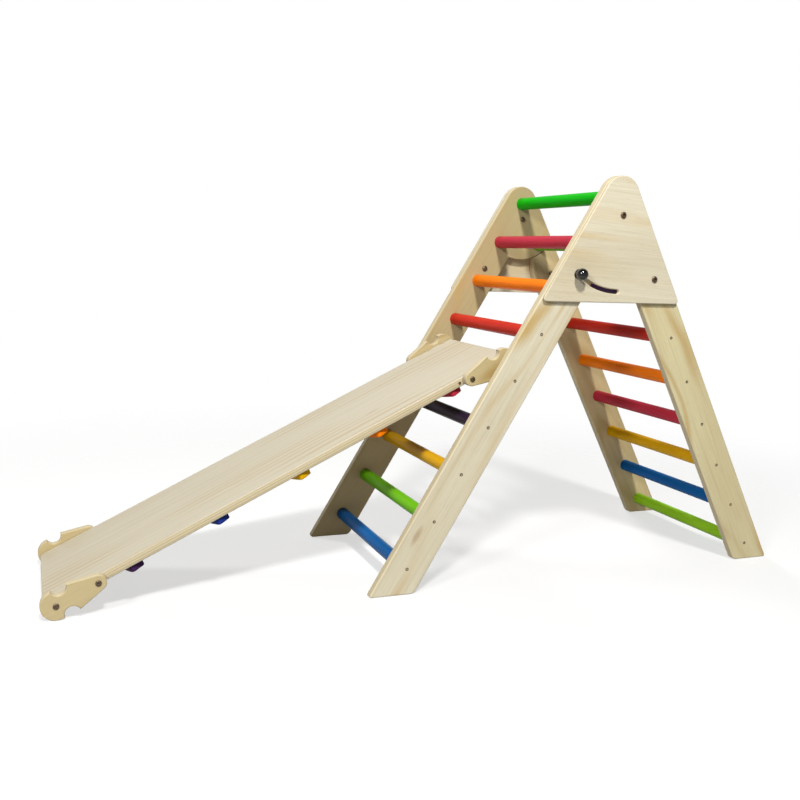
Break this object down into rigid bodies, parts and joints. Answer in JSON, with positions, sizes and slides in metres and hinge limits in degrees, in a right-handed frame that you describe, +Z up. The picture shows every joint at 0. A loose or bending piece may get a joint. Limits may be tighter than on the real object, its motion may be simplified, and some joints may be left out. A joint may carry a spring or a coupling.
{
  "type": "toddler slide",
  "caption": "Folding wooden climbing triangle with painted rungs and a hook-on slide board with climbing cleats on its other face; the rear ladder folds and clamps with ball knobs.",
  "frame": {"origin": "middle of the bounding box on the floor plane", "axes": "+Z up; the slide runs down towards -X and the rear ladder stands at +X; +Y is across the object, so the object is its own mirror image across the XZ plane"},
  "size_m": [1.6864, 0.5396, 0.895],
  "materials": {
    "timber": "clear satin lacquer over pale pine-faced plywood",
    "steel": "dark bronze-plated steel",
    "knob": "gloss black",
    "paint_bright_green": "semi-gloss paint over a smooth hardwood dowel",
    "paint_rose": "semi-gloss paint over a smooth hardwood dowel",
    "paint_orange": "semi-gloss paint over a smooth hardwood dowel",
    "paint_red": "semi-gloss paint over a smooth hardwood dowel",
    "paint_teal_green": "semi-gloss paint over a smooth hardwood dowel",
    "paint_purple": "semi-gloss paint over a smooth hardwood dowel",
    "paint_yellow": "semi-gloss paint over a smooth hardwood dowel",
    "paint_lime": "semi-gloss paint over a smooth hardwood dowel",
    "paint_blue": "semi-gloss paint over a smooth hardwood dowel",
    "paint_deep_blue": "semi-gloss paint over plywood"
  },
  "bodies": {
    "front_ladder": {"front_stile_left": "timber", "front_stile_right": "timber", "front_rung_1": "paint_bright_green", "front_rung_2": "paint_rose", "front_rung_3": "paint_orange", "front_rung_4": "paint_red", "front_rung_5": "paint_teal_green", "front_rung_6": "paint_purple", "front_rung_7": "paint_yellow", "front_rung_8": "paint_lime", "front_rung_9": "paint_blue", "rear_rung_1": "paint_lime", "clamp_stud_left": "steel", "clamp_stud_right": "steel", "clamp_washer_left": "steel", "clamp_washer_right": "steel"},
    "rear_ladder": {"rear_stile_left": "timber", "rear_stile_right": "timber", "gusset_plate_left": "timber", "gusset_plate_right": "timber", "rear_rung_2": "paint_purple", "rear_rung_3": "paint_red", "rear_rung_4": "paint_orange", "rear_rung_5": "paint_rose", "rear_rung_6": "paint_yellow", "rear_rung_7": "paint_blue", "rear_rung_8": "paint_lime", "pivot_bolt_left": "steel", "pivot_bolt_right": "steel", "pivot_nut_left": "steel", "pivot_nut_right": "steel", "plate_bolt_left": "steel", "plate_bolt_right": "steel", "plate_nut_left": "steel", "plate_nut_right": "steel"},
    "slide": {"slide_board": "timber", "hook_plate_upper_left": "timber", "hook_plate_upper_right": "timber", "hook_plate_lower_left": "timber", "hook_plate_lower_right": "timber", "lobe_screw_upper_left": "steel", "tail_screw_upper_left": "steel", "lobe_screw_upper_right": "steel", "tail_screw_upper_right": "steel", "lobe_screw_lower_left": "steel", "tail_screw_lower_left": "steel", "lobe_screw_lower_right": "steel", "tail_screw_lower_right": "steel", "cleat_1": "paint_rose", "cleat_2": "paint_orange", "cleat_3": "paint_yellow", "cleat_4": "paint_deep_blue", "cleat_5": "paint_purple"},
    "knob_left": {"clamp_knob_left": "knob"},
    "knob_right": {"clamp_knob_right": "knob"}
  },
  "joints": [
    {"name": "fold", "type": "hinge", "parent": "front_ladder", "child": "rear_ladder", "pos_m": [0.34274, 0, 0.8123], "axis": [0, 1, 0], "range_deg": [0, 38]},
    {"name": "slide_tilt", "type": "hinge", "parent": "front_ladder", "child": "slide", "pos_m": [0.1071, 0, 0.45364], "axis": [0, 1, 0], "range_deg": [0, 40]},
    {"name": "knob_left_turn", "type": "hinge", "parent": "front_ladder", "child": "knob_left", "pos_m": [0.2411, -0.2566, 0.68342], "axis": [0, -1, 0], "range_deg": [0, 360]},
    {"name": "knob_right_turn", "type": "hinge", "parent": "front_ladder", "child": "knob_right", "pos_m": [0.2411, 0.2566, 0.68342], "axis": [0, 1, 0], "range_deg": [0, 360]}
  ]
}
